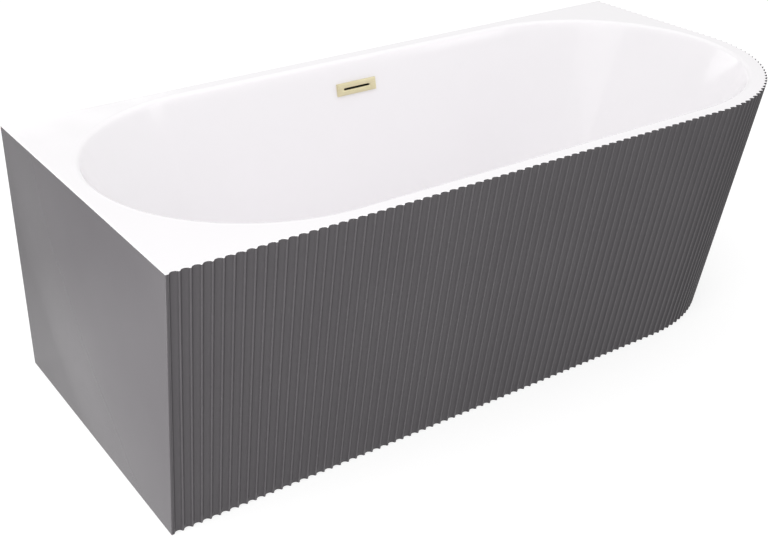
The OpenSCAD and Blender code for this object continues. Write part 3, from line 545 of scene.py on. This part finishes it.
chips = finish("sealed_chipboard", (0.5, 0.37, 0.22), 0.55, coat=0.2)
feed(chips, "Base Color", span(chips, grain(chips, 300, detail=6), (0.33, 0.23, 0.12), (0.62, 0.48, 0.30)))
relief(chips, grain(chips, 420, detail=4), 0.0003)
dress(chips, "base_board")

# Steel frame: two rails and three cross members of box tube, powder coated grey, with black
# caps in their ends. Bolts hold them together and to the board, and zinc brackets on top
# hold the panels.

coated = finish("grey_powder_coat", (0.085, 0.088, 0.095), 0.5)
feed(coated, "Roughness", span(coated, grain(coated, 90, detail=4), 0.42, 0.58))
relief(coated, grain(coated, 700, detail=3), 0.00012)
dress(
    coated, "frame_rail_front", "frame_rail_back",
    "cross_member_left", "cross_member_middle", "cross_member_right",
)

black_plastic = finish("black_plastic", (0.012, 0.012, 0.013), 0.45)
feed(black_plastic, "Roughness", span(black_plastic, grain(black_plastic, 160, detail=3), 0.36, 0.54))
relief(black_plastic, grain(black_plastic, 900, detail=2), 0.00005)
dress(black_plastic, "tube_caps")

zinc = finish("zinc_plate", (0.62, 0.63, 0.65), 0.32, metallic=1)
feed(zinc, "Base Color", span(zinc, grain(zinc, 120, detail=5), (0.52, 0.53, 0.56), (0.70, 0.71, 0.72)))
feed(zinc, "Roughness", span(zinc, grain(zinc, 60, detail=4), 0.29, 0.42))
dress(zinc, "frame_bolts", "apron_brackets", "back_brackets", "bracket_screws", "weld_nuts", "lock_nuts")

# Feet: zinc plated steel studs with a rolled thread and a hexagon collar. Each turns in a
# nut that is welded under its cross member and stands in a black plastic pad.

FEET = 5
STUD_R, PITCH, THREAD_DEEP = 6.0, 1.75, 0.55
COLLAR_R, COLLAR_LOW, COLLAR_HIGH = 10.0, 14.0, 20.0


def thread(r, low, high, pitch, deep, around=24, rows=6):
    """A threaded rod along Z: its radius falls and rises by deep once for each pitch
    along Z, and the groove moves up by one pitch for each full turn. Both ends are
    chamfered to the groove's depth."""
    z = np.linspace(low, high, int((high - low) / pitch * rows))[:, None]
    turn = np.linspace(0, 2 * np.pi, around, endpoint=False)
    phase = (z / pitch - turn / (2 * np.pi)) % 1
    ease = np.clip(np.minimum(z - low, high - z) / (1.5 * deep), 0, 1)
    radius = r - deep + deep * ease * np.abs(2 * phase - 1)
    grid = np.stack([radius * np.cos(turn), radius * np.sin(turn), z + 0 * turn], -1)
    points = np.concatenate([grid.reshape(-1, 3), [[0, 0, low], [0, 0, high]]])
    n, last = around, len(z) - 1
    i = np.arange(n)
    caps = np.concatenate([
        np.stack([(i + 1) % n, i, np.full(n, len(points) - 2)], -1),
        np.stack([last * n + i, last * n + (i + 1) % n, np.full(n, len(points) - 1)], -1),
    ])
    return points, ring_quads(len(z), n).tolist() + caps.tolist()


def hexagon(r, low, high, chamfer=0.8):
    """A hexagon collar about Z: its six corners stand at radius r, and in from there by
    the chamfer at both faces."""
    turn = np.arange(6) * np.pi / 3
    corners = np.column_stack([np.cos(turn), np.sin(turn)])
    rings = [(r - chamfer, low), (r, low + chamfer), (r, high - chamfer), (r - chamfer, high)]
    last = 6 * (len(rings) - 1)
    ends = [list(range(6)), list(range(last, last + 6))]
    points = np.concatenate([at(corners * out, z) for out, z in rings])
    return points, ring_quads(len(rings), 6).tolist() + ends


def together(*parts):
    """Joins several (points, faces) into one."""
    points, faces, first = [], [], 0
    for part, part_faces in parts:
        points.append(part)
        faces += [[first + i for i in face] for face in part_faces]
        first += len(part)
    return np.concatenate(points), faces


for number in range(1, FEET + 1):
    low, high = (np.array(corner) * 1000 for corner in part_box(f"foot_stud_{number}"))
    x, y, _ = (low + high) / 2
    points, faces = together(
        thread(STUD_R, low[2], high[2], PITCH, THREAD_DEEP), hexagon(COLLAR_R, COLLAR_LOW, COLLAR_HIGH)
    )
    stud = add_piece(f"foot_stud_{number}_threaded", points + [x, y, 0], faces, sharp=40)
    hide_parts(f"foot_stud_{number}")
    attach(stud, f"foot_{number}")
    stud.data.materials.append(zinc)
    dress(black_plastic, f"foot_pad_{number}")

# Overflow: a pale gold plate with one slot lies on the basin's back wall. Behind the wall
# are a rubber gasket and a plastic body, which two screws draw against the plate, and a
# pipe that runs down to the waste.

PLATE_L, PLATE_H, PLATE_T, PLATE_EASE = 110.0, 30.0, 5.0, 0.6
SLOT_L, SLOT_H, SLOT_RUN = 74.0, 5.0, 70.0


def plate_loop(half_l, half_h, half_slot, steps=12, straight=10):
    """A rectangle's outline in X and Z with as many points as the slot's. Points over
    the straight runs keep their place, and the rest go round the rectangle's ends."""
    run = np.linspace(-1, 1, straight + 1)[1:-1] * half_slot
    k = np.linspace(0, 1, steps + 1)[:-1]
    along = half_slot + (half_l - half_slot) * k
    end = np.concatenate([
        np.column_stack([along, np.full(steps, -half_h)]),
        np.column_stack([np.full(steps, half_l), half_h * (2 * k - 1)]),
        np.column_stack([half_l + half_slot - along, np.full(steps, half_h)]),
        [[half_slot, half_h]],
    ])
    top = np.column_stack([run[::-1], np.full(len(run), half_h)])
    half = np.concatenate([end, top])
    return np.concatenate([half, -half])


# The plate's front edges are eased in steps: e further in from the edge at height h.
easing = [
    (PLATE_EASE * (1 - np.cos(a)), PLATE_T - PLATE_EASE * (1 - np.sin(a)))
    for a in np.linspace(0, np.pi / 2, 4)
]
plate_rings = [(plate_loop(PLATE_L / 2, PLATE_H / 2, SLOT_RUN / 2), 0)]
plate_rings += [(plate_loop(PLATE_L / 2 - e, PLATE_H / 2 - e, SLOT_RUN / 2), h) for e, h in easing]
plate_rings += [(slot_loop(SLOT_L / 2 + e, SLOT_H / 2 + e), h) for e, h in easing[::-1]]
plate_rings += [(slot_loop(SLOT_L / 2, SLOT_H / 2), 0), plate_rings[0]]
plate_points = np.concatenate([
    np.column_stack([loop[:, 0], np.full(len(loop), -h), loop[:, 1]]) for loop, h in plate_rings
])
plate = add_piece(
    "overflow_plate_eased",
    onto_back_wall(plate_points),
    ring_quads(len(plate_rings), len(plate_rings[0][0])).tolist(),
    sharp=30,
)
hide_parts("overflow_plate")
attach(plate, "bath")

# Pale gold plating, brushed along the plate.
gold = finish("brushed_pale_gold", (0.78, 0.72, 0.47), 0.30, metallic=1)
brushing = grain(gold, 500, stretch=(0.02, 1, 1), detail=4)
feed(gold, "Base Color", span(gold, brushing, (0.75, 0.68, 0.43), (0.82, 0.75, 0.51)))
feed(gold, "Roughness", span(gold, grain(gold, 900, stretch=(0.02, 1, 1), detail=4), 0.28, 0.38))
plate.data.materials.append(gold)
dress(zinc, "overflow_screws")

rubber = finish("black_rubber", (0.02, 0.02, 0.02), 0.75)
relief(rubber, grain(rubber, 1200, detail=3), 0.00004)
dress(rubber, "overflow_gasket")

white_plastic = finish("white_plastic", (0.78, 0.78, 0.76), 0.42)
feed(white_plastic, "Roughness", span(white_plastic, grain(white_plastic, 70, detail=3), 0.36, 0.48))
relief(white_plastic, grain(white_plastic, 500, detail=2), 0.00004)
dress(white_plastic, "overflow_pipe")
dress(black_plastic, "overflow_body")

# Waste: a turned brass flange, plated pale gold, screws through the floor into the plastic
# body under it, and a rubber gasket seals the body to the floor. The trap and the outlet
# pipe are moulded in white plastic, and black slip nuts clamp them.

FLANGE_R, TAIL_R, BORE_R = 35.0, 22.5, 20.0
TAIL_LOW, FLANGE_LOW, FLANGE_TOP = 100.0, 132.0, 135.0
FLANGE_EDGE, MOUTH_EDGE = 1.5, 2.5


def gold_turning(name, node, body, profile):
    """A gold plated piece turned about Z from its profile, in place of a node."""
    points, faces = turned(profile, n=128)
    piece = add_piece(name, points, faces, sharp=40)
    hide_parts(node)
    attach(piece, body)
    piece.data.materials.append(gold)


def quarter(r, z, wide, high, start=0, end=1):
    """A quarter of an ellipse in a profile, about (r, z): at share 0 it lies out along
    the radius by wide, at share 1 up along the height by high."""
    turn = np.linspace(start, end, 7) * np.pi / 2
    return np.column_stack([r + wide * np.cos(turn), z + high * np.sin(turn)])


tail = [(BORE_R, TAIL_LOW), (TAIL_R, TAIL_LOW), (TAIL_R, FLANGE_LOW), (FLANGE_R, FLANGE_LOW)]
flange_edge = quarter(FLANGE_R - FLANGE_EDGE, FLANGE_TOP - FLANGE_EDGE, FLANGE_EDGE, FLANGE_EDGE)
flange_mouth = quarter(
    BORE_R + MOUTH_EDGE, FLANGE_TOP - MOUTH_EDGE, -MOUTH_EDGE, MOUTH_EDGE, start=1, end=0
)
gold_turning(
    "waste_flange_turned", "waste_flange", "bath",
    np.concatenate([tail, flange_edge, flange_mouth, tail[:1]]),
)
dress(rubber, "waste_gasket")
dress(white_plastic, "waste_body", "trap_body", "outlet_pipe")
dress(black_plastic, "slip_nuts", "trap_cap")

# Plug: a domed cap, turned and plated like the flange, on a zinc plated stem with a rubber
# seal under the cap. The stem slides in a plastic guide that sits in the flange.

CAP_R, CAP_DOME, CAP_SIDE = 31.0, 3.2, (1.5, 1.4)
CAP_CHAMFER = (0.7, 0.6)

cap_low, cap_high = (corner.z * 1000 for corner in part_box("plug_cap"))
cap_under = [(0, cap_low), (CAP_R - CAP_CHAMFER[0], cap_low), (CAP_R, cap_low + CAP_CHAMFER[1])]
cap_side = quarter(CAP_R - CAP_SIDE[0], cap_high - CAP_DOME - CAP_SIDE[1], *CAP_SIDE)
# The dome falls away from the middle with the square of the distance.
out = np.linspace(1, 0, 25)
dome = np.column_stack([(CAP_R - CAP_SIDE[0]) * out, cap_high - CAP_DOME * out ** 2])
gold_turning("plug_cap_turned", "plug_cap", "plug", np.concatenate([cap_under, cap_side, dome]))
dress(zinc, "plug_stem")
dress(rubber, "plug_seal")
dress(white_plastic, "plug_guide")

# Plug spring: zinc plated steel wire of 1.2 mm, coiled five and a half times round the
# stem. It stands on the guide and lifts the stem by its collar.

COIL_R, WIRE_R, COIL_TURNS = 7.3, 0.6, 5.5


def coil(r, wire, low, high, turns, steps=36, around=10):
    """A wire's circle carried along a helix of radius r from low to high about Z. The
    circle stays square to the helix, and both ends are closed."""
    t = np.linspace(0, 1, int(turns * steps) + 1)[:, None, None]
    turn = 2 * np.pi * turns * t
    rise = atan2(high - low - 2 * wire, 2 * np.pi * r * turns)
    a = np.linspace(0, 2 * np.pi, around, endpoint=False)[None, :, None]
    axis = np.array([0, 0, 1])
    out = np.concatenate([np.cos(turn), np.sin(turn), 0 * turn], -1)
    back = np.concatenate([np.sin(turn), -np.cos(turn), 0 * turn], -1)
    up = back * np.sin(rise) + axis * np.cos(rise)
    centre = out * r + axis * (low + wire + (high - low - 2 * wire) * t)
    grid = centre + wire * (np.cos(a) * out + np.sin(a) * up)
    n = grid.shape[0] * around
    ends = [list(range(around)), list(range(n - around, n))]
    return grid.reshape(-1, 3), ring_quads(grid.shape[0], around).tolist() + ends


spring_low, spring_high = (corner.z * 1000 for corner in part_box("plug_spring"))
points, faces = coil(COIL_R, WIRE_R, spring_low, spring_high, COIL_TURNS)
spring = add_piece("plug_spring_coiled", points, faces, sharp=60)
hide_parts("plug_spring")
spring.data.materials.append(zinc)
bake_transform(spring)

# Floor, light and camera: a plain white studio with a wide pale floor, an even surround and
# soft lights. Two are overhead, two are low strips at the left and in front, and two small
# ones stand to the right and behind. The camera stands where the photograph was taken.

# Half the floor's width and its drop under the bath are in metres, as are all places and
# sizes from here on.
FLOOR_HALF, FLOOR_DROP, FLOOR_GLOW = 30, 0.0005, 0.39

floor_mesh = bpy.data.meshes.new("studio_floor")
corners = [(x * FLOOR_HALF, y * FLOOR_HALF, 0) for x, y in ((-1, -1), (1, -1), (1, 1), (-1, 1))]
floor_mesh.from_pydata(corners, [], [(0, 1, 2, 3)])
floor = bpy.data.objects.new("studio_floor", floor_mesh)
bpy.context.scene.collection.objects.link(floor)
floor.location.z = -FLOOR_DROP
floor_white = finish("floor_white", (0.38, 0.38, 0.38), 0.9, specular=0.0)


def reckon(tree, operation, first, second):
    """One sum on two values, as a new value."""
    node = tree.nodes.new("ShaderNodeMath")
    node.operation = operation
    tree.links.new(first, node.inputs[0])
    tree.links.new(second, node.inputs[1])
    return node.outputs[0]


def by_ray(tree, socket, seen, mirrored, other):
    """Feeds a strength to a socket: one for what is seen straight or through glass, one
    for mirrored rays, and one for the rest. Gives back the node that has the second."""
    path = tree.nodes.new("ShaderNodeLightPath")
    straight = reckon(
        tree, "MAXIMUM", path.outputs["Is Camera Ray"], path.outputs["Is Transmission Ray"]
    )
    unseen = carry(tree, path.outputs["Is Glossy Ray"], 0.0, 1.0, other, mirrored)
    strength = carry(tree, straight, 0.0, 1.0, other, seen)
    tree.links.new(unseen, strength.node.inputs["To Min"])
    tree.links.new(strength, socket)
    return unseen.node


# For mirrored rays only, the floor glows in front of the bath and to its left: a painted pool of
# light that the panels mirror. It falls off towards the walls and past the rounded end.
tree = floor_white.node_tree
floor_shader = tree.nodes["Principled BSDF"]
floor_shader.inputs["Emission Color"].default_value = (1, 1, 1, 1)
glow = by_ray(
    tree, floor_shader.inputs["Emission Strength"], seen=0.71, mirrored=FLOOR_GLOW, other=0.0
)
place = tree.nodes.new("ShaderNodeTexCoord")
parts = tree.nodes.new("ShaderNodeSeparateXYZ")
tree.links.new(place.outputs["Object"], parts.inputs[0])
to_the_right = carry(tree, parts.outputs["X"], 0.5, 1.2, FLOOR_GLOW, 0.0)
to_the_back = carry(tree, parts.outputs["Y"], 0.3, 0.95, 1.0, 0.0)
tree.links.new(reckon(tree, "MULTIPLY", to_the_right, to_the_back), glow.inputs["To Max"])
floor_mesh.materials.append(floor_white)

world = bpy.data.worlds.new("studio")
bpy.context.scene.world = world
world.use_nodes = True
surround = world.node_tree.nodes["Background"]
surround.inputs["Color"].default_value = (1, 1, 1, 1)
by_ray(world.node_tree, surround.inputs["Strength"], seen=1.0, mirrored=0.7, other=0.81)


def soft_light(name, place, aim, size, power):
    """A rectangular light at a place, turned to face a point."""
    lamp = bpy.data.lights.new(name, "AREA")
    lamp.shape, lamp.size, lamp.size_y, lamp.energy = "RECTANGLE", *size, power
    holder = bpy.data.objects.new(name, lamp)
    bpy.context.scene.collection.objects.link(holder)
    holder.location = place
    towards = Vector(aim) - holder.location
    holder.rotation_euler = towards.to_track_quat("-Z", "Y").to_euler()


soft_light("light_above", (0.0, 0.0, 3.2), (0, 0, 0.4), (6.0, 6.0), 29)
soft_light("light_above_left", (-2.2, -2.0, 3.0), (-0.4, 0, 0.5), (2.5, 2.5), 21)
soft_light("light_left", (-2.8, -0.15, 0.2), (-0.85, 0.0, 0.2), (2.2, 0.3), 68)
soft_light("light_front", (-1.7, -3.45, 0.4), (-0.4, -0.3, 0.3), (3.2, 0.6), 67)
soft_light("light_right", (2.9, -3.0, 1.3), (0.0, 0.3, 0.5), (0.8, 1.6), 8)
soft_light("light_behind", (0.0, 3.4, 1.1), (0.7, -0.1, 0.55), (1.8, 1.15), 10)

LOOK_DOWN, HEADING = radians(25.067), radians(55.236)

eye = bpy.data.cameras.new("photo_camera")
eye.sensor_width = 36
eye.lens = 56.84
eye.shift_x, eye.shift_y = -0.01244, -0.07831
eye_holder = bpy.data.objects.new("photo_camera", eye)
bpy.context.scene.collection.objects.link(eye_holder)
eye_holder.location = (-1.5234, -2.0086, 1.4958)
eye_holder.rotation_euler = (np.pi / 2 - LOOK_DOWN, 0, HEADING - np.pi / 2)
bpy.context.scene.camera = eye_holder
bpy.context.scene.view_settings.view_transform = "Standard"
